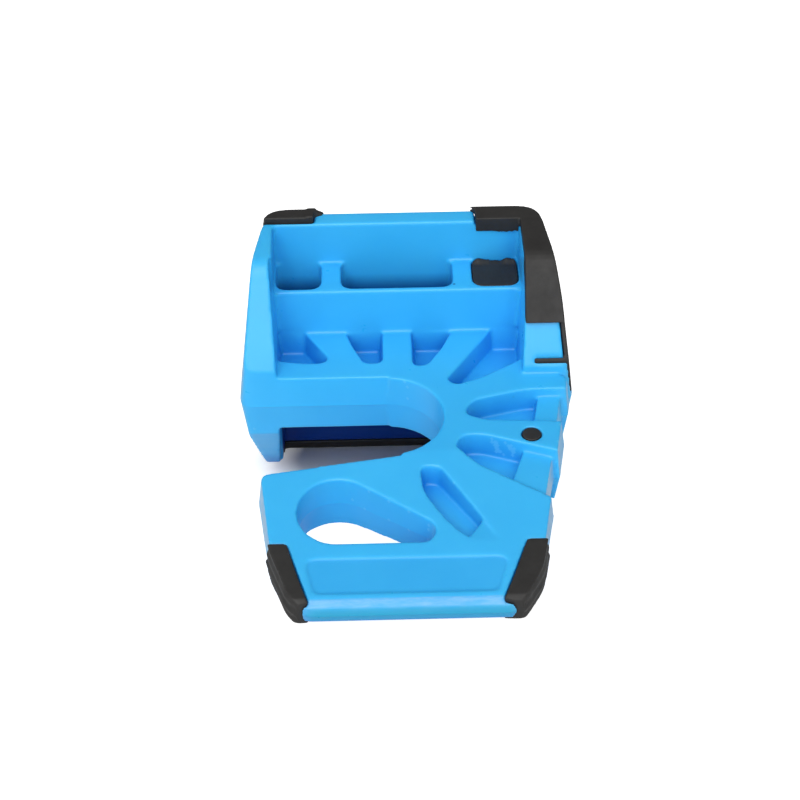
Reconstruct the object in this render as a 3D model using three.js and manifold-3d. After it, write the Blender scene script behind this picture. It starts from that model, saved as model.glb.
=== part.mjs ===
// Three-way door stop: a blue plastic moulding with black rubber grips.
//
// The moulding is one piece that was formed between two mould halves, so it is drawn about its
// parting plane (z = 0, x to the right, y to the rear) and every wall leans away from that plane
// by the draft angle. At the front is the wedge tongue that goes under a door. Behind it a slot,
// open to the left, takes a hinge knuckle. The tall stepped box at the rear hangs on the top edge
// of a door. The whole object is then tipped nose down, as it rests on a floor: z = 0 is the floor.
import * as THREE from 'three';
import { mergeVertices } from 'three/addons/utils/BufferGeometryUtils.js';
import Module from 'manifold-3d';

// ---------------------------------------------------------------- driving dimensions, millimetres
const WIDTH = 76.2;             // across the box, at the parting plane
const BOX_REAR = 37.0;          // rear face of the box, at the parting plane
const LEFT_TURN_Y = 16.0;       // the sides of the box run straight as far as here, then close in
const RIGHT_TURN_Y = 9.0;
const REAR_LEFT = -34.8;        // rear corners
const REAR_RIGHT = 34.7;
const FRONT_CORNER_RADIUS = 3.0;
const FRONT_CORNER_HEIGHT = 17; // the front corners are rounded below this height
const FACET_FOOT = 9.3;         // height at which the steep front facet of a side wall starts
const FACET_TOP_Y = 14.3;       // where that facet reaches the flat top
const TOP_HEIGHT = 30.0;        // flat top of the box above the parting plane
const FOOT_DEPTH = 37.2;        // lower rim under the panel, below the parting plane
const HUB_HALF_HEIGHT = 7.5;    // half the thickness of the plate and of the ribbed hub
const NOSE_Y = -65.0;           // front face of the tongue
const NOSE_LEFT = -25.2;        // corners of that face
const NOSE_RIGHT = 21.8;
const CREASE_Y = -24.0;         // where the flat hub turns into the sloping tongue
const BEVEL_Y = -63.1;          // where the tongue turns into the nose bevel
const BEVEL_HALF_HEIGHT = 3.1;
const NOSE_HALF_HEIGHT = 1.65;
const SLOT_CENTRE = [-4.7, -12.2];
const SLOT_RADIUS = 12.2;       // round end of the hinge slot, at the parting plane
const SLOT_SPLAY = 0.16;        // slope of the slot's front edge, so that it opens to the left
const INNER_WALL_LEFT = -29.0;  // inner faces of the side walls, at the parting plane
const INNER_WALL_RIGHT = 25.9;
const TIER_Y = 16.7;            // front face of the lower tier, at the parting plane
const LEDGE_HEIGHT = 19.1;
const PANEL_Y = 28.9;           // front face of the rear panel
const LEDGE_LIP = 1.3;          // strip of ledge left in front of the wells behind it
const WELL_FLOOR = 3.0;         // floors of the wells in the ledge
const WEB_HALF_HEIGHT = 1.9;    // web between the upper and lower radial pockets
const STEP_HALF_HEIGHT = 5.2;   // thicker outer end of that web
const WEB_SETBACK = 1.4;        // the web stops this far inside the ends of the ribs
const BADGE_DEPTH = 0.4;        // blank panel sunk into the tongue
const PAD_REAR_Y = -48.9;       // rear ends of the nose pads
const GRIP_SEAT = 1.2;          // depth of the recesses that hold the rubber
const GRIP_PROUD = 1.3;         // how far the box grips stand above the plastic
const FOOT_SEAT = 0.2;          // the strip under the box lies almost on the surface
const FOOT_PROUD = 2.1;         // the strip under the box is thicker
const PAD_PROUD = 0.45;         // the nose pads stand above the tongue by this much
const PLUG_RADIUS = 2.1;        // rubber plug through a rib
const PLUG_CENTRE = [26.8, -19.3];
const DRAFT = THREE.MathUtils.degToRad(7);
const CAVITY_DRAFT = THREE.MathUtils.degToRad(3);
const GAP = 0.15;               // clearance between rubber and plastic
const FAR = 60;                 // reaches past the object in any direction

const HALF_WIDTH = WIDTH / 2;
const TIER_FOOT_Y = TIER_Y + HUB_HALF_HEIGHT * Math.tan(CAVITY_DRAFT);

// ---------------------------------------------------------------- materials
const bluePlastic = { color: 0x2f9fe8, roughness: 0.38, metalness: 0 };
const blackRubber = { color: 0x2c2b29, roughness: 0.8, metalness: 0 };

// ---------------------------------------------------------------- solids
const wasm = await Module();
wasm.setup();

function toSolid(geometry) {
  geometry.deleteAttribute('normal');
  geometry.deleteAttribute('uv');
  const merged = mergeVertices(geometry, 1e-4);
  return new wasm.Manifold(new wasm.Mesh({
    numProp: 3,
    vertProperties: Float32Array.from(merged.attributes.position.array),
    triVerts: Uint32Array.from(merged.index.array),
  }));
}

function toMesh(name, solid, look) {
  const { vertProperties, triVerts } = solid.getMesh();
  const geometry = new THREE.BufferGeometry();
  geometry.setAttribute('position', new THREE.BufferAttribute(Float32Array.from(vertProperties), 3));
  geometry.setIndex(new THREE.BufferAttribute(Uint32Array.from(triVerts), 1));
  geometry.computeVertexNormals();
  const mesh = new THREE.Mesh(geometry, new THREE.MeshStandardMaterial(look));
  mesh.name = name;
  return mesh;
}

function join(solids) {
  return solids.reduce((whole, solid) => whole.add(solid));
}

// A closed outline through corners [x, y, radius]; a corner without a radius stays sharp.
function outline(corners) {
  const shape = new THREE.Shape();
  const at = (index) => new THREE.Vector2(...corners.at(index % corners.length).slice(0, 2));
  corners.forEach(([, , radius = 0], index) => {
    const corner = at(index);
    const before = at(index + corners.length - 1).sub(corner).normalize();
    const after = at(index + 1).sub(corner).normalize();
    const turn = Math.PI - Math.acos(THREE.MathUtils.clamp(before.dot(after), -1, 1));
    const reach = radius * Math.tan(turn / 2);
    const start = corner.clone().addScaledVector(before, reach);
    const end = corner.clone().addScaledVector(after, reach);
    if (index === 0) shape.moveTo(start.x, start.y);
    else shape.lineTo(start.x, start.y);
    if (radius > 0) shape.quadraticCurveTo(corner.x, corner.y, end.x, end.y);
  });
  return shape;
}

// The same corners with every side moved outwards; corners run anticlockwise.
function grown(corners, distance) {
  return corners.map(([x, y, radius = 0], index) => {
    const previous = corners.at((index + corners.length - 1) % corners.length);
    const next = corners[(index + 1) % corners.length];
    const into = new THREE.Vector2(x - previous[0], y - previous[1]).normalize();
    const out = new THREE.Vector2(next[0] - x, next[1] - y).normalize();
    const side = new THREE.Vector2(into.y + out.y, -into.x - out.x);
    side.multiplyScalar(distance / (1 + into.dot(out)));
    const turnsLeft = into.cross(out) > 0;
    const newRadius = radius > 0 ? Math.max(radius + (turnsLeft ? distance : -distance), 0.3) : 0;
    return [x + side.x, y + side.y, newRadius];
  });
}

// A prism about z = 0 whose walls lean inwards away from that plane, or outwards if draft < 0.
function draftedPrism(shape, halfHeight, draft = DRAFT, curveSegments = 5) {
  const land = 0.1;
  const lean = (halfHeight - land / 2) * Math.tan(draft);
  const geometry = new THREE.ExtrudeGeometry(shape, {
    depth: land,
    bevelThickness: halfHeight - land / 2,
    bevelSize: lean,
    bevelOffset: -lean,
    bevelSegments: 1,
    curveSegments,
  });
  return toSolid(geometry.translate(0, 0, -land / 2));
}

// A straight bar along x whose section is given as a shape in (y, z).
function barAlongX(shape, fromX, toX) {
  const geometry = new THREE.ExtrudeGeometry(shape, {
    depth: toX - fromX,
    bevelEnabled: false,
    curveSegments: 5,
  });
  const axes = new THREE.Matrix4().makeBasis(
    new THREE.Vector3(0, 1, 0),
    new THREE.Vector3(0, 0, 1),
    new THREE.Vector3(1, 0, 0),
  );
  return toSolid(geometry.applyMatrix4(axes).translate(fromX, 0, 0));
}

function block([fromX, toX], [fromY, toY], [fromZ, toZ]) {
  const geometry = new THREE.BoxGeometry(toX - fromX, toY - fromY, toZ - fromZ);
  geometry.translate((fromX + toX) / 2, (fromY + toY) / 2, (fromZ + toZ) / 2);
  return toSolid(geometry);
}

function slab(halfHeight) {
  return block([-FAR, FAR], [-2 * FAR, FAR], [-halfHeight, halfHeight]);
}

// ---------------------------------------------------------------- tilt
// Side view of the hub and tongue: flat, then a shallow wedge, then the bevelled nose.
function wedgeProfile(growth = 0) {
  const upper = [
    [FAR, HUB_HALF_HEIGHT],
    [CREASE_Y, HUB_HALF_HEIGHT],
    [BEVEL_Y, BEVEL_HALF_HEIGHT],
    [NOSE_Y, NOSE_HALF_HEIGHT],
  ];
  const lower = upper.map(([y, z]) => [y, -z]).reverse();
  return grown([...upper, ...lower], growth);
}

// The lower facet of the box lies parallel to the floor, and the floor touches both the rubber
// strip under that facet and the lower edge of the nose pads. That fixes how far the object tips.
const [padContactY, padContactZ] = wedgeProfile(PAD_PROUD)[5];
const reachToPads = PANEL_Y - padContactY;
const dropToFacet = FOOT_DEPTH + padContactZ;
const TILT = Math.atan2(dropToFacet, reachToPads)
  + Math.asin(FOOT_PROUD / Math.hypot(reachToPads, dropToFacet));

// ---------------------------------------------------------------- rear box
// Side view: the upper front facet and the flat top; below, the same facet and a longer foot.
function boxProfile() {
  const footY = FACET_FOOT * Math.tan(DRAFT);
  const facetSlope = (TOP_HEIGHT - FACET_FOOT) / (FACET_TOP_Y - footY);
  const tipY = footY - FACET_FOOT / facetSlope;
  const soleSlope = Math.tan(TILT);
  const turnY = (FOOT_DEPTH - PANEL_Y * soleSlope + facetSlope * tipY) / (facetSlope - soleSlope);
  const soleZ = (y) => -FOOT_DEPTH - (y - PANEL_Y) * soleSlope;
  return [
    [tipY, 0],
    [turnY, soleZ(turnY), 5],
    [FAR, soleZ(FAR)],
    [FAR, TOP_HEIGHT],
    [FACET_TOP_Y, TOP_HEIGHT, 5],
  ];
}

// The outline seen from above and the side view can both be grown or shrunk, which makes the
// seats for the rubber and the rubber itself.
function boxEnvelope(planGrowth = 0, sideGrowth = 0) {
  const plan = [
    [-HALF_WIDTH, 0],
    [HALF_WIDTH, 0],
    [HALF_WIDTH, RIGHT_TURN_Y, 25],
    [REAR_RIGHT, BOX_REAR, 10.2],
    [REAR_LEFT, BOX_REAR, 10.2],
    [-HALF_WIDTH, LEFT_TURN_Y, 60],
  ];
  const deepest = FOOT_DEPTH + 8;
  return draftedPrism(outline(grown(plan, planGrowth)), deepest)
    .intersect(barAlongX(outline(grown(boxProfile(), sideGrowth)), -FAR, FAR));
}

// Everything but the sharp front corners of the side walls.
function roundedFront() {
  const behind = 2 * FRONT_CORNER_RADIUS;
  const front = draftedPrism(outline([
    [-HALF_WIDTH, 0, FRONT_CORNER_RADIUS],
    [HALF_WIDTH, 0, FRONT_CORNER_RADIUS],
    [HALF_WIDTH, 2 * behind],
    [-HALF_WIDTH, 2 * behind],
  ]), FRONT_CORNER_HEIGHT);
  return front.subtract(block([-FAR, FAR], [behind, FAR], [-FAR, FAR]))
    .add(block([-FAR, FAR], [behind, FAR], [-FAR, FAR]));
}

// The stepped hollow in the front of the box: a low part down to the plate and, above the ledge,
// a deeper part back to the panel. The same hollow is mirrored under the parting plane.
function boxHollow(growth = 0) {
  const low = [
    [INNER_WALL_LEFT, -FAR],
    [INNER_WALL_RIGHT, -FAR],
    [INNER_WALL_RIGHT, TIER_Y, 0.8],
    [INNER_WALL_LEFT, TIER_Y, 0.8],
  ];
  const lean = LEDGE_HEIGHT * Math.tan(CAVITY_DRAFT);
  const high = [
    [INNER_WALL_LEFT - lean, -FAR],
    [INNER_WALL_RIGHT + lean, -FAR],
    [INNER_WALL_RIGHT + lean, PANEL_Y, 1.2],
    [INNER_WALL_LEFT - lean, PANEL_Y, 1.2],
  ];
  const lowPart = draftedPrism(outline(grown(low, growth)), FAR, -CAVITY_DRAFT);
  const highPart = draftedPrism(outline(grown(high, growth)), FAR, 0);
  return lowPart.subtract(slab(HUB_HALF_HEIGHT - growth))
    .add(highPart.subtract(slab(LEDGE_HEIGHT - growth)));
}

// Wells behind the ledge, open at the top and flush with the panel; two ribs part them.
function wellCorners(fromX, toX) {
  const frontY = TIER_Y + LEDGE_HEIGHT * Math.tan(CAVITY_DRAFT) + LEDGE_LIP;
  return [
    [fromX, frontY, 3],
    [toX, frontY, 3],
    [toX, PANEL_Y, 1.8],
    [fromX, PANEL_Y, 1.8],
  ];
}

const WELL_EDGES = [[-29.6, -19.1], [-14.5, 11.3], [15.8, 26.6]];

function well([fromX, toX]) {
  return draftedPrism(outline(wellCorners(fromX, toX)), LEDGE_HEIGHT + 1, 0).subtract(slab(WELL_FLOOR));
}

function rearBox() {
  return boxEnvelope()
    .intersect(roundedFront())
    .subtract(boxHollow())
    .subtract(join(WELL_EDGES.map(well)));
}

// ---------------------------------------------------------------- hub and tongue
// Outline at the parting plane, anticlockwise: the slot's front edge, round the tongue, and back
// up the long curve of the right side to the box.
function hubCorners() {
  const [slotX, slotY] = SLOT_CENTRE;
  const tangentAngle = Math.atan(SLOT_SPLAY);
  const tangentX = slotX + SLOT_RADIUS * Math.sin(tangentAngle);
  const tangentY = slotY - SLOT_RADIUS * Math.cos(tangentAngle);
  const backCornerX = -33.2;
  const backCornerY = tangentY + SLOT_SPLAY * (backCornerX - tangentX);
  return [
    [slotX, 8],
    [slotX, slotY],
    [tangentX, tangentY],
    [backCornerX, backCornerY, 3],
    [-30.5, -49.5, 40],
    [NOSE_LEFT, NOSE_Y, 7],
    [NOSE_RIGHT, NOSE_Y, 5.4],
    [26.6, -56.5, 14],
    [33.1, -24, 200],
    [37.6, 1.4, 3],
    [32, 1.4],
    [32, 8],
  ];
}

function hubPrism(growth = 0) {
  return draftedPrism(outline(grown(hubCorners(), growth)), HUB_HALF_HEIGHT + growth, DRAFT, 10);
}

function wedgeBar(growth = 0) {
  return barAlongX(outline(wedgeProfile(growth)), -FAR, FAR);
}

function slotEnd() {
  const circle = new THREE.EllipseCurve(...SLOT_CENTRE, SLOT_RADIUS, SLOT_RADIUS);
  const shape = new THREE.Shape(circle.getPoints(56).slice(1));
  return draftedPrism(shape, HUB_HALF_HEIGHT + 1, -CAVITY_DRAFT);
}

// Finger hole: a big and a small circle joined by their tangents, both touching the front edge.
function fingerHole() {
  const frontY = -48.6;
  const big = { x: -15.8, radius: 8.3 };
  const small = { x: 1.6, radius: 2.9 };
  const bigY = frontY + big.radius;
  const smallY = frontY + small.radius;
  const span = Math.hypot(small.x - big.x, smallY - bigY);
  const lineAngle = Math.atan2(smallY - bigY, small.x - big.x);
  const tangent = lineAngle + Math.acos((big.radius - small.radius) / span);
  const shape = new THREE.Shape();
  shape.absarc(big.x, bigY, big.radius, tangent, 1.5 * Math.PI);
  shape.absarc(small.x, smallY, small.radius, -0.5 * Math.PI, tangent);
  return draftedPrism(shape, HUB_HALF_HEIGHT + 1, -CAVITY_DRAFT, 14);
}

// Radial pockets between the ribs, given by their openings at the hub's surface. Some have a
// raised step in the floor beyond a line that is crossed going outwards.
const POCKETS = [
  {
    corners: [[-29.6, 7.5], [-24.0, 6.4, 8], [-16.4, 6.2, 2.2], [-23.1, TIER_FOOT_Y],
      [-29.6, TIER_FOOT_Y]],
  },
  {
    corners: [[-9.6, 6.0, 2], [-5.2, 5.9, 2], [-5.2, TIER_FOOT_Y], [-13.8, TIER_FOOT_Y],
      [-12.2, 12.2, 14]],
  },
  {
    corners: [[1.5, 4.2, 1.8], [5.0, 5.2, 3], [8.4, 11.0, 14], [11.1, TIER_FOOT_Y],
      [1.5, TIER_FOOT_Y]],
  },
  {
    corners: [[8.9, -0.2, 1.6], [11.2, -2.2, 2.2], [17.0, 0.2, 20], [26.8, 6.6],
      [26.8, TIER_FOOT_Y], [20.1, TIER_FOOT_Y]],
  },
  {
    corners: [[12.3, -12.0, 2], [17.0, -14.2, 8], [40, -15.6], [40, -4.2], [26.5, -4.2, 25],
      [14.2, -7.6, 5]],
    step: { from: [27.5, -11.6], to: [28.8, -4.4], halfHeight: STEP_HALF_HEIGHT },
  },
  {
    corners: [[10.0, -22.6, 1.7], [14.6, -28.0, 12], [40, -44.5], [40, -27.6], [16.0, -18.9, 8],
      [11.4, -18.9, 3.2]],
    step: { from: [21.2, -31.6], to: [24.2, -22.4], halfHeight: STEP_HALF_HEIGHT },
  },
  {
    corners: [[2.0, -28.0, 1.8], [2.2, -35.0, 12], [8.2, -45.6, 25], [19, -54], [22.6, -54.8],
      [12.8, -39.0, 30], [6.4, -28.4, 2.8]],
    step: { from: [11.2, -47.5], to: [14.7, -42.0], halfHeight: STEP_HALF_HEIGHT - 0.5 },
  },
];

function stepRegion({ from: [fromX, fromY], to: [toX, toY], halfHeight }) {
  const along = new THREE.Vector2(toX - fromX, toY - fromY).normalize().multiplyScalar(FAR);
  const outward = new THREE.Vector2(along.y, -along.x);
  const start = new THREE.Vector2(fromX, fromY).sub(along);
  const end = new THREE.Vector2(toX, toY).add(along);
  const corners = [start, start.clone().add(outward), end.clone().add(outward), end];
  return draftedPrism(outline(corners.map((corner) => [corner.x, corner.y])), halfHeight);
}

function radialPockets(webEnvelope) {
  const flare = HUB_HALF_HEIGHT * Math.tan(DRAFT);
  return join(POCKETS.map(({ corners, step }) => {
    const cutter = draftedPrism(outline(grown(corners, -flare)), HUB_HALF_HEIGHT + 1, -DRAFT, 4);
    const web = step ? slab(WEB_HALF_HEIGHT).add(stepRegion(step)) : slab(WEB_HALF_HEIGHT);
    return cutter.subtract(web.intersect(webEnvelope));
  }));
}

function badgeRecess() {
  const corners = [[-20.9, -61.9, 2.2], [17.2, -61.9, 2.2], [20.0, -52.7, 2.2], [-23.1, -52.7, 2.2]];
  const sunkWedge = wedgeBar(-BADGE_DEPTH);
  return draftedPrism(outline(corners), HUB_HALF_HEIGHT, 0, 3)
    .subtract(sunkWedge)
    .subtract(block([-FAR, FAR], [-2 * FAR, FAR], [-FAR, 0]));
}

function hubAndTongue() {
  const webEnvelope = hubPrism(-WEB_SETBACK).add(boxEnvelope());
  return hubPrism()
    .intersect(wedgeBar())
    .subtract(slotEnd())
    .subtract(fingerHole())
    .subtract(badgeRecess())
    .add(rearBox())
    .subtract(radialPockets(webEnvelope));
}

// ---------------------------------------------------------------- rubber
// Each grip fills a region of the shell between a seat sunk into the plastic and an outer skin.
function boxCore(clearance, depth = GRIP_SEAT) {
  return boxEnvelope(clearance - GRIP_SEAT, clearance - depth).subtract(boxHollow(-clearance));
}

// Where the rubber lies on the box. The rear right grip runs back along the top of the side wall
// and round the corner, where a lip hangs over the front of the panel; its flank covers the side.
const RIGHT_GRIP = { fromX: 26.8, fromZ: 18.2, rearFromX: 16.6, overPanel: 0.9, lip: 2.6 };
const RIGHT_FLANK = { fromX: 29, fromY: 1.6, toY: 26, fromZ: 1.0, toZ: 20 };
const LEFT_CAP = { toX: -20.4, fromY: 29.6, fromZ: 20 };
const FOOT = { fromY: PANEL_Y - 3, toZ: -30 };
const SIDE_ONLY = -5; // a core of this depth is shrunk in plan only, not in its side view

function rightGripTop(margin) {
  const { fromX, fromZ, rearFromX, overPanel, lip } = RIGHT_GRIP;
  const lipFront = PANEL_Y - overPanel;
  return join([
    block([fromX + margin, FAR], [-FAR, FAR], [fromZ + margin, FAR]),
    block([rearFromX + margin, FAR], [lipFront + margin, FAR], [TOP_HEIGHT - lip + margin, FAR]),
  ]);
}

function rightGripSide(margin) {
  const { fromX, fromY, toY, fromZ, toZ } = RIGHT_FLANK;
  return block([fromX, FAR], [fromY + margin, toY - margin], [fromZ + margin, toZ]);
}

function leftCapRegion(margin) {
  const { toX, fromY, fromZ } = LEFT_CAP;
  return block([-FAR, toX - margin], [fromY + margin, FAR], [fromZ + margin, FAR]);
}

function footRegion(margin) {
  return block([-FAR, FAR], [FOOT.fromY + margin, FAR], [-FAR, FOOT.toZ - margin]);
}

// The two nose pads, by the x of their inner edges at the rear end and at the toe.
const PADS = { left: [-26.4, -21.7], right: [23.7, 17.8] };

function padRegion([rearX, toeX], margin) {
  const side = Math.sign(rearX);
  const corners = [
    [side * FAR, PAD_REAR_Y],
    [rearX, PAD_REAR_Y, 0.8],
    [toeX, NOSE_Y + 1.0, 0.6],
    [toeX + side * 2.4, NOSE_Y + 0.5],
    [side * FAR, NOSE_Y + 0.5],
  ];
  const anticlockwise = side > 0 ? corners : corners.reverse();
  return draftedPrism(outline(grown(anticlockwise, -margin)), FAR, 0, 3);
}

function tongueEnvelope(growth) {
  return hubPrism(growth).intersect(wedgeBar(growth));
}

function rearRightGrip() {
  const top = boxEnvelope(0, GRIP_PROUD).intersect(rightGripTop(GAP));
  const flank = boxEnvelope(0, 0).intersect(rightGripSide(GAP));
  return top.subtract(boxCore(GAP)).add(flank.subtract(boxCore(GAP, SIDE_ONLY)));
}

function rearLeftCap() {
  return boxEnvelope(0.2, GRIP_PROUD).intersect(leftCapRegion(GAP)).subtract(boxCore(GAP));
}

function rearFootStrip() {
  return boxEnvelope(0, FOOT_PROUD)
    .intersect(footRegion(GAP))
    .subtract(boxCore(GAP, FOOT_SEAT))
    .subtract(boxHollow());
}

function nosePad(innerEdge) {
  return tongueEnvelope(PAD_PROUD)
    .intersect(padRegion(innerEdge, GAP))
    .subtract(tongueEnvelope(GAP - GRIP_SEAT));
}

function pocketPlug() {
  const [fromX, toX] = WELL_EDGES[2];
  const prism = draftedPrism(outline(grown(wellCorners(fromX, toX), -GAP)), LEDGE_HEIGHT - 0.1, 0);
  return prism.intersect(block([-FAR, FAR], [-FAR, FAR], [WELL_FLOOR + GAP, FAR]));
}

function cylinder([x, y], radius, halfHeight) {
  const geometry = new THREE.CylinderGeometry(radius, radius, 2 * halfHeight, 32);
  return toSolid(geometry.rotateX(Math.PI / 2).translate(x, y, 0));
}

// Everything the rubber sits in is cut out of the plastic.
function rubberSeats() {
  const boxRegions = [rightGripTop(0), leftCapRegion(0)];
  const padRegions = [padRegion(PADS.left, 0), padRegion(PADS.right, 0)];
  return [
    join(boxRegions).subtract(boxCore(0)),
    rightGripSide(0).subtract(boxCore(0, SIDE_ONLY)),
    footRegion(0).subtract(boxCore(0, FOOT_SEAT)),
    join(padRegions).subtract(tongueEnvelope(-GRIP_SEAT)),
    cylinder(PLUG_CENTRE, PLUG_RADIUS + GAP, FAR),
  ];
}

// ---------------------------------------------------------------- the object
const body = rubberSeats().reduce((solid, seat) => solid.subtract(seat), hubAndTongue());

const pieces = [
  toMesh('body', body, bluePlastic),
  toMesh('rear_right_grip', rearRightGrip(), blackRubber),
  toMesh('rear_left_cap', rearLeftCap(), blackRubber),
  toMesh('rear_foot_strip', rearFootStrip(), blackRubber),
  toMesh('left_nose_pad', nosePad(PADS.left), blackRubber),
  toMesh('right_nose_pad', nosePad(PADS.right), blackRubber),
  toMesh('well_plug', pocketPlug(), blackRubber),
  toMesh('rib_plug', cylinder(PLUG_CENTRE, PLUG_RADIUS, HUB_HALF_HEIGHT), blackRubber),
];

const moulding = new THREE.Group();
moulding.add(...pieces);

moulding.rotation.x = TILT;
moulding.updateMatrixWorld(true);
const bounds = new THREE.Box3().setFromObject(moulding, true);
const centre = bounds.getCenter(new THREE.Vector3());
moulding.position.set(-centre.x, -centre.y, -bounds.min.z);

const doorStop = new THREE.Group();
doorStop.name = 'door_stop';
doorStop.add(moulding);

export default doorStop;
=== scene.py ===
"""A three-way door stop in blue plastic with black rubber grips, on a pale floor.

The shapes are modelled in the mould's own space: x to the right, y to the rear and z up from the
parting plane, in metres. The matrix `mould` carries that space to its tipped place on the floor.
"""
import math

import bmesh
import bpy
from mathutils import Matrix, Vector, noise


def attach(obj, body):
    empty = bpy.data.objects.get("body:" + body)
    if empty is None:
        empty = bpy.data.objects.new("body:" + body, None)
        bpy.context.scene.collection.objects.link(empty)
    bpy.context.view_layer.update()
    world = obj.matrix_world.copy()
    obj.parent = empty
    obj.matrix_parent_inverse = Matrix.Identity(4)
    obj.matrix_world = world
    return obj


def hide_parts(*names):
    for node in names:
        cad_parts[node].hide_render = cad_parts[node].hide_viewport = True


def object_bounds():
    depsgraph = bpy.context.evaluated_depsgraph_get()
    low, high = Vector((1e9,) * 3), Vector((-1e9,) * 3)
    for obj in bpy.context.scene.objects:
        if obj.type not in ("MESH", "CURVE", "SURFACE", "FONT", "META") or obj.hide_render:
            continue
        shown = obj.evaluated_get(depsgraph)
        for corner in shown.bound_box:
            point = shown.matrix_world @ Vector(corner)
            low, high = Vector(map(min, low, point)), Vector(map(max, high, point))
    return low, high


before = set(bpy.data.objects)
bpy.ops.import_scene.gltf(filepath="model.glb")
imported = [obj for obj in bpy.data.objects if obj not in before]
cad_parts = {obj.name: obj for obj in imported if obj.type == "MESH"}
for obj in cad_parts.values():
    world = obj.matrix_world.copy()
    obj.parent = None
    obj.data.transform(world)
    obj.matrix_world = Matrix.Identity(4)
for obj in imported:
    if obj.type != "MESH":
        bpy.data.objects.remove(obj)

cad_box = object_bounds()

MM = 0.001
WELD = 0.002 * MM                    # CAD corners closer than this are one point
BODY_VOXEL = 0.32 * MM
RUBBER_VOXEL = 0.22 * MM
BODY_SMOOTHING = 9                   # smoothing passes, which set how round the edges get
RUBBER_SMOOTHING = 7

# Places on the part, in the mould's space.
PLUG_AXIS = (26.8 * MM, -19.3 * MM)  # where the rib plug stands
PLUG_LEFT = 15.8 * MM                # left side of the well that the well plug fills
PLUG_TOP = 19.0 * MM                 # top face of that plug
RIM_TOP = 30.0 * MM                  # flat top of the box
REAR_EDGE = 33.3 * MM                # rear edge of that flat top
PANEL_Y = 28.9 * MM                  # front face of the box's rear panel
WELL_MIDDLE_Y = 24.0 * MM            # the wells lie between the ledge's lip and the rear panel
WELL_HALF_DEPTH = 5.2 * MM
WELL_HALF_WIDTH = 31.0 * MM
WELL_SHADE_TOP = 15.5 * MM           # height below which the wells get dark
CREASE_Y = -24.0 * MM                # where the hub turns into the tongue
BEVEL_Y = -63.1 * MM                 # where the tongue turns into the nose bevel
BEVEL_RUN = 1.9 * MM                 # from there to the upright face of the nose
HUB_TOP = 7.5 * MM                   # heights of the wedge's upper face at crease and bevel
BEVEL_TOP = 3.1 * MM
PANEL_REAR = -51.5 * MM              # rear edge of the blank panel sunk into the tongue


# ------------------------------------------------------------------ the mould's space
def mould_matrix():
    """The rib plug stands square to the parting plane and is centred on it."""
    plug = [v.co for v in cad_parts["rib_plug"].data.vertices]
    centre = sum(plug, Vector()) / len(plug)
    upper = [p for p in plug if p.z > centre.z]
    axis = sum(upper, Vector()) / len(upper) - centre
    tilt = math.atan2(-axis.y, axis.z)
    turn = Matrix.Rotation(tilt, 4, "X")
    return Matrix.Translation(centre) @ turn @ Matrix.Translation((-PLUG_AXIS[0], -PLUG_AXIS[1], 0))


mould = mould_matrix()


def add_piece(name, node, mesh, material):
    """Puts a mesh, given in the mould's space, in the place of a CAD node."""
    mesh.transform(mould)
    piece = bpy.data.objects.new(name, mesh)
    bpy.context.scene.collection.objects.link(piece)
    mesh.materials.clear()
    mesh.materials.append(material)
    mesh.shade_smooth()
    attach(piece, "root")
    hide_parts(node)


def evaluated(mesh, *modifiers):
    """Applies modifiers, given as (type, settings), to a mesh and returns the result."""
    holder = bpy.data.objects.new("holder", mesh)
    bpy.context.scene.collection.objects.link(holder)
    for kind, settings in modifiers:
        modifier = holder.modifiers.new(kind, kind)
        for key, value in settings.items():
            setattr(modifier, key, value)
    graph = bpy.context.evaluated_depsgraph_get()
    result = bpy.data.meshes.new_from_object(holder.evaluated_get(graph))
    bpy.data.objects.remove(holder)
    return result


def in_mould(node):
    """A welded copy of a CAD node's mesh in the mould's space."""
    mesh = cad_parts[node].data.copy()
    mesh.transform(mould.inverted())
    bm = bmesh.new()
    bm.from_mesh(mesh)
    bmesh.ops.remove_doubles(bm, verts=bm.verts, dist=WELD)
    bm.to_mesh(mesh)
    bm.free()
    return mesh


def rounded(node, voxel, passes):
    """The CAD shape with every edge rounded, as moulding leaves it."""
    return evaluated(
        in_mould(node),
        ("REMESH", {"mode": "VOXEL", "voxel_size": voxel, "adaptivity": 0.0}),
        ("SMOOTH", {"factor": 0.5, "iterations": passes}),
    )


def move_points(mesh, offset):
    """Moves every point by offset(place, normal), where that is not None."""
    normals = [vertex.normal.copy() for vertex in mesh.vertices]
    for vertex, normal in zip(mesh.vertices, normals):
        step = offset(vertex.co, normal)
        if step is not None:
            vertex.co += step
    mesh.update()


def fade(value, start, end):
    """Goes smoothly from 0 at start to 1 at end."""
    t = min(max((value - start) / (end - start), 0.0), 1.0)
    return t * t * (3 - 2 * t)


def ragged(x, pitch, seed):
    """Uneven signed steps along x, at two sizes of pitch."""
    coarse = noise.noise(Vector((x / pitch, seed, 0.0)))
    fine = noise.noise(Vector((x / pitch * 3.1, seed, 7.0)))
    return coarse + 0.5 * fine


# ------------------------------------------------------------------ traces of moulding
def parting_ridge(place, normal):
    """A fine ridge of flash where the two mould halves met."""
    reach = 0.35 * MM
    steepest = 0.5
    if abs(place.z) > reach or abs(normal.z) > steepest:
        return None
    height = 0.07 * MM * (1 + 0.6 * ragged(place.x + place.y, 5 * MM, seed=2.0))
    return Vector((normal.x, normal.y, 0)) * height * fade(abs(place.z), reach, 0)


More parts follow.
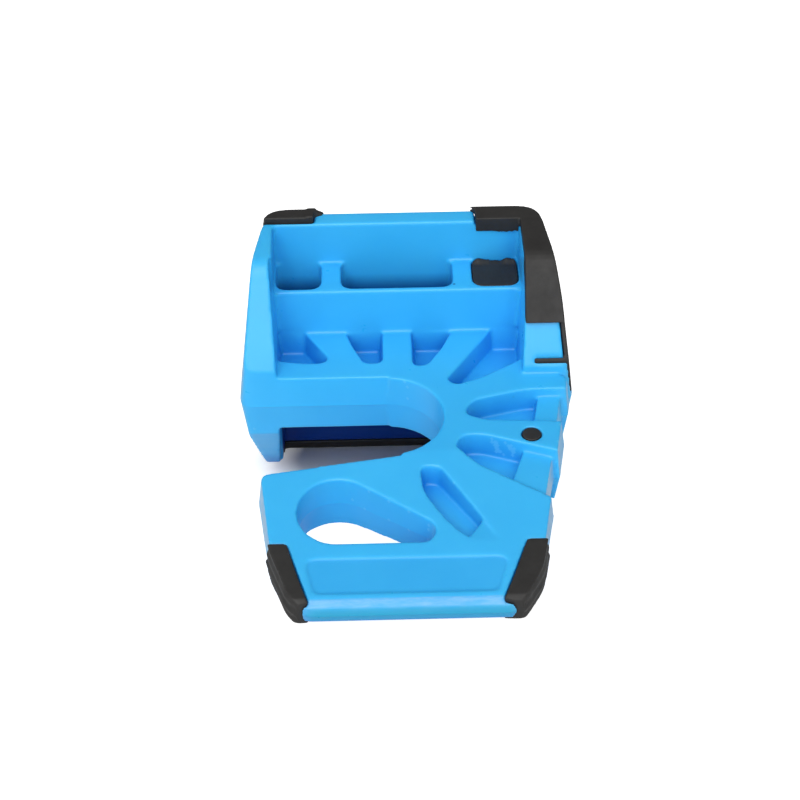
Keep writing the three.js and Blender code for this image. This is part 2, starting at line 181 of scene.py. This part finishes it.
def grip_flash(place, normal):
    """The front lip has a torn lower edge, and a crumb of flash sticks out of its left end."""
    lip_back = PANEL_Y + 1.0 * MM
    lip_right = 27 * MM
    lip_foot = RIM_TOP - 1.6 * MM
    tear_depth = 0.45 * MM
    left_end = 17.6 * MM
    crumb_length = 1.3 * MM
    step = Vector()
    if place.y < lip_back and place.x < lip_right and place.z < lip_foot:
        torn = fade(place.x, 20.5 * MM, 22 * MM)
        step.z = -tear_depth * torn * (0.5 + ragged(place.x, 1.1 * MM, seed=4.0))
    if place.x < left_end and place.z > RIM_TOP - 0.4 * MM:
        crumb = fade(place.x, left_end, left_end - 0.7 * MM)
        crumb *= fade(place.y, REAR_EDGE - 1.6 * MM, REAR_EDGE)
        step.x = -crumb_length * crumb * (0.8 + ragged(place.z + place.y, 0.8 * MM, seed=9.0))
    return step


def cap_flash(place, normal):
    """The right end carries a lump that runs out into a thin tail of flash."""
    lump_start = -22.6 * MM
    lump_full = -21.6 * MM
    tail_full = -20.8 * MM
    lump_height = 0.30 * MM
    lump_length = 0.6 * MM
    tail_length = 2.0 * MM
    tail_top = RIM_TOP + 1.2 * MM
    step = Vector()
    if place.x > lump_start and place.z > RIM_TOP - 0.6 * MM:
        end = fade(place.x, lump_full, tail_full)
        end *= fade(place.y, REAR_EDGE - 2.0 * MM, REAR_EDGE - 0.6 * MM)
        tail = tail_length * fade(place.z, tail_top, RIM_TOP)
        step.x = end * (lump_length + tail * (0.8 + 0.5 * ragged(place.y, 0.9 * MM, seed=3.0)))
        lump = fade(place.x, lump_start, lump_full) * fade(place.z, RIM_TOP + 0.5 * MM, tail_top)
        step.z = lump_height * lump
    return step


def plug_flash(place, normal):
    """The top face dishes in the middle and its rear edge waves."""
    top = fade(place.z, PLUG_TOP - 2.5 * MM, PLUG_TOP)
    rear = fade(place.y, PANEL_Y - 2.0 * MM, PANEL_Y)
    dish = -0.25 * MM * (1 - rear)
    wave_length = 7.6 * MM
    wave = 0.35 * MM * math.sin((place.x - PLUG_LEFT) / wave_length * 2 * math.pi)
    climb = 0.3 * MM * (1 + ragged(place.x, 1.3 * MM, seed=5.0))
    return Vector((0, 0, top * (dish + rear * (wave + climb))))


def foot_bumps(place, normal):
    """The strip's front edge is uneven, with one small lump."""
    if place.y > PANEL_Y:
        return None
    lump_x = 4 * MM
    lump_width = 1.2 * MM
    lump = 0.25 * MM * math.exp(-((place.x - lump_x) / lump_width) ** 2)
    return Vector((0, -lump - 0.12 * MM * ragged(place.x, 3 * MM, seed=1.0), 0))


def pad_ridges(place, normal):
    """The outer side of a nose pad is pressed into two shallow ridges along its length."""
    if abs(normal.x) < 0.5:
        return None
    height = 0.14 * MM
    half_pitch = 1.25 * MM
    return Vector((math.copysign(height, normal.x) * math.cos(place.z / half_pitch * math.pi), 0, 0))


# ------------------------------------------------------------------ materials
class Nodes:
    """Short helpers that add shader nodes to one material."""

    def __init__(self, name):
        self.material = bpy.data.materials.new(name)
        self.material.use_nodes = True
        self.tree = self.material.node_tree
        self.bsdf = self.tree.nodes["Principled BSDF"]
        self.world = self.add("ShaderNodeTexCoord").outputs["Object"]
        back = mould.inverted()
        mapping = self.add("ShaderNodeMapping", Vector=self.world, Location=back.to_translation(),
                           Rotation=back.to_euler())
        self.place = mapping.outputs["Vector"]

    def add(self, kind, **inputs):
        node = self.tree.nodes.new(kind)
        for key, value in inputs.items():
            self.put(node.inputs[key.replace("_", " ")], value)
        return node

    def put(self, socket, value):
        if isinstance(value, bpy.types.NodeSocket):
            self.tree.links.new(value, socket)
        else:
            socket.default_value = value

    def finish(self, **inputs):
        """Sets inputs of the surface shader and returns the material."""
        for key, value in inputs.items():
            self.put(self.bsdf.inputs[key.replace("_", " ")], value)
        return self.material

    def noise(self, scale, detail, roughness=0.5, place=None):
        node = self.add("ShaderNodeTexNoise", Vector=place or self.place, Scale=scale, Detail=detail,
                        Roughness=roughness)
        return node.outputs["Fac"]

    def ramp(self, value, low, high, at_low=0.0, at_high=1.0):
        """Goes from at_low, where value is low, to at_high, where value is high."""
        node = self.add("ShaderNodeMapRange", Value=value, From_Min=low, From_Max=high, To_Min=at_low,
                        To_Max=at_high)
        return node.outputs["Result"]

    def band(self, value, middle, half_width, soft):
        """One within half_width of the middle, then down to nothing over a soft edge."""
        distance = self.math("ABSOLUTE", self.math("SUBTRACT", value, middle))
        return self.ramp(distance, half_width, half_width + soft, 1.0, 0.0)

    def math(self, operation, a, b=0.0):
        """One operation on two values; sums stay between 0 and 1."""
        node = self.tree.nodes.new("ShaderNodeMath")
        node.operation = operation
        node.use_clamp = operation == "ADD"
        self.put(node.inputs[0], a)
        self.put(node.inputs[1], b)
        return node.outputs[0]

    def product(self, first, *others):
        for other in others:
            first = self.math("MULTIPLY", first, other)
        return first

    def vector(self, operation, a, b):
        node = self.tree.nodes.new("ShaderNodeVectorMath")
        node.operation = operation
        self.put(node.inputs[0], a)
        self.put(node.inputs[1], b)
        return node

    def mix(self, factor, a, b):
        node = self.tree.nodes.new("ShaderNodeMix")
        node.data_type = "RGBA"
        self.put(node.inputs["Factor"], factor)
        self.put(node.inputs["A"], a)
        self.put(node.inputs["B"], b)
        return node.outputs["Result"]

    def bump(self, height, distance, strength, normal=None):
        node = self.add("ShaderNodeBump", Height=height, Distance=distance, Strength=strength)
        if normal is not None:
            self.put(node.inputs["Normal"], normal)
        return node.outputs["Normal"]

    def axis(self, letter):
        """The place along one axis of the mould's space."""
        node = self.add("ShaderNodeSeparateXYZ", Vector=self.place)
        return node.outputs[letter]

    def facing(self, letter):
        """How squarely the surface faces along a world axis, on either side."""
        normal = self.add("ShaderNodeNewGeometry").outputs["Normal"]
        node = self.add("ShaderNodeSeparateXYZ", Vector=normal)
        return self.math("ABSOLUTE", node.outputs[letter])

    def edges(self):
        """About 0.5 on flat surfaces, less in inside corners and more on outside edges."""
        return self.add("ShaderNodeNewGeometry").outputs["Pointiness"]


LIGHT_BLUE = (0.043, 0.490, 0.930, 1)
EVEN_BLUE = (0.037, 0.465, 0.905, 1)
# Painted shade: a deeper blue for inside corners, hollows, the nose bevel and the sunk panel floor.
SHADE_BLUE = (0.001, 0.175, 0.620, 1)
# Painted highlight colour for outside edges.
HIGHLIGHT_BLUE = (0.150, 0.600, 0.950, 1)
WELL_BLUE = (0.0, 0.030, 0.26, 1)
# Painted shade for the upright face of the nose.
NOSE_FACE_SHADE = (0.005, 0.29, 0.38, 1)
CHALK = (0.340, 0.590, 0.800, 1)
SIDE_PALE_BLUE = (0.50, 0.62, 0.74, 1)
SPECK = (0.01, 0.06, 0.16, 1)

RUBBER_DARK = (0.0160, 0.0152, 0.0145, 1)
RUBBER_WORN = (0.0250, 0.0240, 0.0230, 1)
RUBBER_EDGE_HIGHLIGHT = (0.055, 0.053, 0.051, 1)
DUST = (0.11, 0.10, 0.095, 1)


def blue_with_painted_shade(n):
    """Two near blues in a slow pattern, with painted shade, a deeper blue, in inside corners and where
    little sky is seen.
    """
    colour = n.mix(n.ramp(n.noise(60, 4, 0.6), 0.35, 0.65), LIGHT_BLUE, EVEN_BLUE)
    # Painted shade in inside corners.
    colour = n.mix(n.ramp(n.edges(), 0.42, 0.495, 0.45, 0.0), colour, SHADE_BLUE)
    open_sky = n.add("ShaderNodeAmbientOcclusion", Distance=10 * MM).outputs["AO"]
    # Painted shade where the surface sees little open sky.
    return n.mix(n.ramp(open_sky, 0.10, 0.66, 0.9, 0.0), colour, SHADE_BLUE)


def dark_wells(n, colour):
    """Little light comes back out of the wells behind the ledge."""
    soft_edge = 0.6 * MM
    low_down = n.ramp(n.axis("Z"), WELL_SHADE_TOP - 5.5 * MM, WELL_SHADE_TOP, 0.96, 0.0)
    between_faces = n.band(n.axis("Y"), WELL_MIDDLE_Y, WELL_HALF_DEPTH, soft_edge)
    between_walls = n.band(n.axis("X"), 0.0, WELL_HALF_WIDTH, soft_edge)
    return n.mix(n.product(low_down, between_faces, between_walls), colour, WELL_BLUE)


def painted_edge_highlight(n, colour):
    # Painted highlight: outside edges are lifted towards a pale blue.
    return n.mix(n.ramp(n.edges(), 0.535, 0.60, 0.0, 0.35), colour, HIGHLIGHT_BLUE)


def past_bevel(n):
    """One in front of the line where the tongue turns into the nose bevel."""
    return n.ramp(n.axis("Y"), BEVEL_Y - 0.1 * MM, BEVEL_Y + 0.2 * MM, 1.0, 0.0)


def on_nose_face(n, at_face, at_bevel):
    """Goes from at_face, on the upright face of the nose, to at_bevel, on the bevel above it."""
    face_y = BEVEL_Y - BEVEL_RUN
    return n.ramp(n.axis("Y"), face_y, face_y + 0.6 * MM, at_face, at_bevel)


def nose_streaks(n):
    """A fine pattern drawn out along the bevel."""
    stretched = n.vector("MULTIPLY", n.place, (0.35, 1.6, 1.6)).outputs["Vector"]
    return n.ramp(n.noise(520, 6, 0.62, stretched), 0.38, 0.72)


def worn_and_shaded_nose(n, colour, bevel, rubbed):
    """The bevel gets a little painted shade and is rubbed whitish by floors, and the upright face below
    it gets painted shade, a duller blue.
    """
    # Painted shade: the bevel is darkened a little.
    colour = n.mix(n.product(bevel, 0.25), colour, SHADE_BLUE)
    colour = n.mix(rubbed, colour, CHALK)
    # Painted shade: the upright face of the nose, which faces down to the floor, is a duller blue.
    return n.mix(on_nose_face(n, 0.6, 0.0), colour, NOSE_FACE_SHADE)


def pale_tongue_sides(n, colour):
    """The narrow sides of the tongue are painted paler, in patches."""
    side = n.ramp(n.facing("X"), 0.72, 0.95)
    tongue = n.ramp(n.axis("Y"), CREASE_Y - 2 * MM, CREASE_Y + 8 * MM, 1.0, 0.0)
    outside = n.ramp(n.math("ABSOLUTE", n.axis("X")), 25.5 * MM, 26.5 * MM)
    patchy = n.ramp(n.noise(210, 3), 0.3, 0.7, 0.25, 0.6)
    return n.mix(n.product(side, tongue, outside, patchy), colour, SIDE_PALE_BLUE)


def dark_specks(n, colour):
    """A few small specks of dirt in the plastic."""
    cells = n.add("ShaderNodeTexVoronoi", Vector=n.place, Scale=95.0)
    speck = n.ramp(cells.outputs["Distance"], 0.022, 0.040, 0.7, 0.0)
    rare = n.ramp(n.noise(38, 0), 0.55, 0.60)
    return n.mix(n.product(speck, rare), colour, SPECK)


def sunk_panel(n, colour, bevel_zone):
    """The floor of the blank panel gets painted shade, a deeper blue; it lies a set depth under the
    wedge's face.
    """
    wedge_slope = (HUB_TOP - BEVEL_TOP) / (CREASE_Y - BEVEL_Y)
    wedge_drop = n.math("MULTIPLY", n.math("SUBTRACT", n.axis("Y"), CREASE_Y), wedge_slope)
    height = n.math("SUBTRACT", n.math("SUBTRACT", n.axis("Z"), HUB_TOP), wedge_drop)
    under_face = n.ramp(height, -0.30 * MM, -0.12 * MM, 1.0, 0.0)
    over_floor = n.ramp(height, -0.70 * MM, -0.55 * MM)
    in_panel = n.ramp(n.axis("Y"), PANEL_REAR - 1 * MM, PANEL_REAR, 0.16, 0.0)
    behind_bevel = n.math("SUBTRACT", 1.0, bevel_zone)
    # Painted shade on the floor of the recess.
    return n.mix(n.product(under_face, over_floor, in_panel, behind_bevel), colour, SHADE_BLUE)


def blue_plastic():
    n = Nodes("blue_plastic")
    bevel_zone = past_bevel(n)
    bevel = n.product(bevel_zone, on_nose_face(n, 0.0, 1.0))
    streaks = nose_streaks(n)
    rubbed = n.product(n.math("ADD", n.product(streaks, 0.45), 0.06), bevel)

    colour = painted_edge_highlight(n, dark_wells(n, blue_with_painted_shade(n)))
    colour = worn_and_shaded_nose(n, colour, bevel, rubbed)
    colour = dark_specks(n, pale_tongue_sides(n, colour))
    colour = sunk_panel(n, colour, bevel_zone)

    gloss = n.ramp(n.noise(180, 5, 0.65), 0.3, 0.7, 0.27, 0.38)
    waves = n.bump(n.noise(95, 1), 0.05 * MM, 0.5)
    grain = n.bump(n.noise(2600, 2), 0.006 * MM, 0.5, waves)
    return n.finish(
        Base_Color=colour,
        Roughness=n.math("ADD", gloss, n.product(rubbed, 0.35)),
        IOR=1.46,
        Subsurface_Weight=0.10,
        Subsurface_Radius=(0.2, 0.7, 1.4),
        Subsurface_Scale=MM,
        Normal=n.bump(streaks, 0.02 * MM, n.product(bevel, 0.5), grain),
    )


def black_rubber():
    n = Nodes("black_rubber")
    colour = n.mix(n.ramp(n.noise(240, 5, 0.6), 0.3, 0.7), RUBBER_DARK, RUBBER_WORN)
    # Painted highlight: outside edges of the rubber are lifted towards a grey.
    colour = n.mix(n.ramp(n.edges(), 0.52, 0.60, 0.0, 0.45), colour, RUBBER_EDGE_HIGHLIGHT)
    colour = n.mix(n.ramp(n.noise(1900, 3, 0.7), 0.66, 0.76, 0.0, 0.18), colour, DUST)
    soft = n.bump(n.noise(300, 3), 0.08 * MM, 0.6)
    return n.finish(
        Base_Color=colour,
        Roughness=n.ramp(n.noise(320, 4, 0.6), 0.3, 0.7, 0.50, 0.64),
        IOR=1.45,
        Normal=n.bump(n.noise(3200, 3, 0.6), 0.02 * MM, 0.7, soft),
    )


def floor_paper():
    """The floor glows, far more to the camera than as a lamp, and the glow fades out round the place
    under the box, which leaves a painted shadow there.
    """
    n = Nodes("floor_paper")
    under_box = (-6 * MM, 42 * MM, 0)
    light_as_lamp = 0.18
    light_as_seen = 0.85
    distance = n.vector("DISTANCE", n.world, under_box).outputs["Value"]
    # Painted shadow: no glow within 20 mm of the place under the box, full glow from 36 mm.
    glow = n.ramp(distance, 20 * MM, 36 * MM)
    camera_ray = n.add("ShaderNodeLightPath").outputs["Is Camera Ray"]
    # Painted light: the floor glows much brighter to the camera than it lights the object.
    strength = n.ramp(camera_ray, 0, 1, light_as_lamp, light_as_seen)
    return n.finish(
        Base_Color=n.mix(n.ramp(n.noise(3, 2), 0.3, 0.7), (0.79, 0.79, 0.79, 1), (0.81, 0.81, 0.81, 1)),
        Roughness=0.9,
        Specular_IOR_Level=0.1,
        Emission_Color=(1, 1, 1, 1),
        Emission_Strength=n.product(glow, strength),
    )


# ------------------------------------------------------------------ pieces
RUBBER_FLASH = {
    "rear_right_grip": grip_flash,
    "rear_left_cap": cap_flash,
    "rear_foot_strip": foot_bumps,
    "left_nose_pad": pad_ridges,
    "right_nose_pad": pad_ridges,
    "well_plug": plug_flash,
    "rib_plug": None,
}


def add_moulding():
    shape = rounded("body", BODY_VOXEL, BODY_SMOOTHING)
    move_points(shape, parting_ridge)
    add_piece("moulding", "body", shape, blue_plastic())


def add_rubber():
    rubber = black_rubber()
    for node, flash in RUBBER_FLASH.items():
        shape = rounded(node, RUBBER_VOXEL, RUBBER_SMOOTHING)
        if flash:
            move_points(shape, flash)
        add_piece(node + "_rubber", node, shape, rubber)


# ------------------------------------------------------------------ stage, light and camera
def add_floor():
    reach = 3.0
    corners = [(-reach, -reach, 0), (reach, -reach, 0), (reach, reach, 0), (-reach, reach, 0)]
    mesh = bpy.data.meshes.new("floor")
    mesh.from_pydata(corners, [], [(0, 1, 2, 3)])
    mesh.materials.append(floor_paper())
    floor = bpy.data.objects.new("floor", mesh)
    bpy.context.scene.collection.objects.link(floor)
    floor.location.z = -0.02 * MM


def add_key_light(name, azimuth, elevation, spread, strength):
    """Soft light from far away, so that it falls evenly; azimuth 0 is the front."""
    light = bpy.data.lights.new(name, "SUN")
    light.angle = math.radians(spread)
    light.energy = strength
    lamp = bpy.data.objects.new(name, light)
    bpy.context.scene.collection.objects.link(lamp)
    lamp.rotation_euler = (math.radians(90 - elevation), 0, math.radians(azimuth))


def add_studio():
    """White all round to the camera; as a light, brightest in front and dimmest behind."""
    world = bpy.data.worlds.new("studio")
    bpy.context.scene.world = world
    world.use_nodes = True
    tree = world.node_tree
    direction = tree.nodes.new("ShaderNodeSeparateXYZ")
    tree.links.new(tree.nodes.new("ShaderNodeTexCoord").outputs["Generated"], direction.inputs["Vector"])
    brightness = tree.nodes.new("ShaderNodeMapRange")
    front_to_back = {"From Min": -1, "From Max": 0.8, "To Min": 0.68, "To Max": 0.14}
    for key, number in front_to_back.items():
        brightness.inputs[key].default_value = number
    tree.links.new(direction.outputs["Y"], brightness.inputs["Value"])
    backdrop = tree.nodes.new("ShaderNodeMath")
    backdrop.operation = "MAXIMUM"
    tree.links.new(brightness.outputs["Result"], backdrop.inputs[0])
    tree.links.new(tree.nodes.new("ShaderNodeLightPath").outputs["Is Camera Ray"], backdrop.inputs[1])
    tree.links.new(backdrop.outputs["Value"], tree.nodes["Background"].inputs["Strength"])
    tree.nodes["Background"].inputs["Color"].default_value = (1.0, 1.0, 1.0, 1)


def add_camera():
    """Looks down at the front from just left of it, with its place given from the CAD box's centre."""
    azimuth = math.radians(-1.0)
    elevation = math.radians(19.75)
    roll = math.radians(-0.88)
    to_right, to_top, to_eye = (-1.63 * MM, -3.43 * MM, 425.3 * MM)
    low, high = cad_box
    centre = (low + high) / 2
    turn = Matrix.Rotation(azimuth, 3, "Z") @ Matrix.Rotation(math.pi / 2 - elevation, 3, "X")
    turn = turn @ Matrix.Rotation(roll, 3, "Z")
    data = bpy.data.cameras.new("camera")
    data.lens = 85.7
    data.clip_start = 0.01
    data.clip_end = 10
    camera = bpy.data.objects.new("camera", data)
    bpy.context.scene.collection.objects.link(camera)
    eye = centre + turn @ Vector((to_right, to_top, to_eye))
    camera.matrix_world = Matrix.Translation(eye) @ turn.to_4x4()
    bpy.context.scene.camera = camera


add_moulding()
add_rubber()
add_floor()
add_studio()
add_key_light("front_softbox", azimuth=-6, elevation=27, spread=55, strength=1.75)
add_key_light("left_softbox", azimuth=-62, elevation=45, spread=50, strength=0.30)
add_camera()
bpy.context.scene.view_settings.view_transform = "Standard"
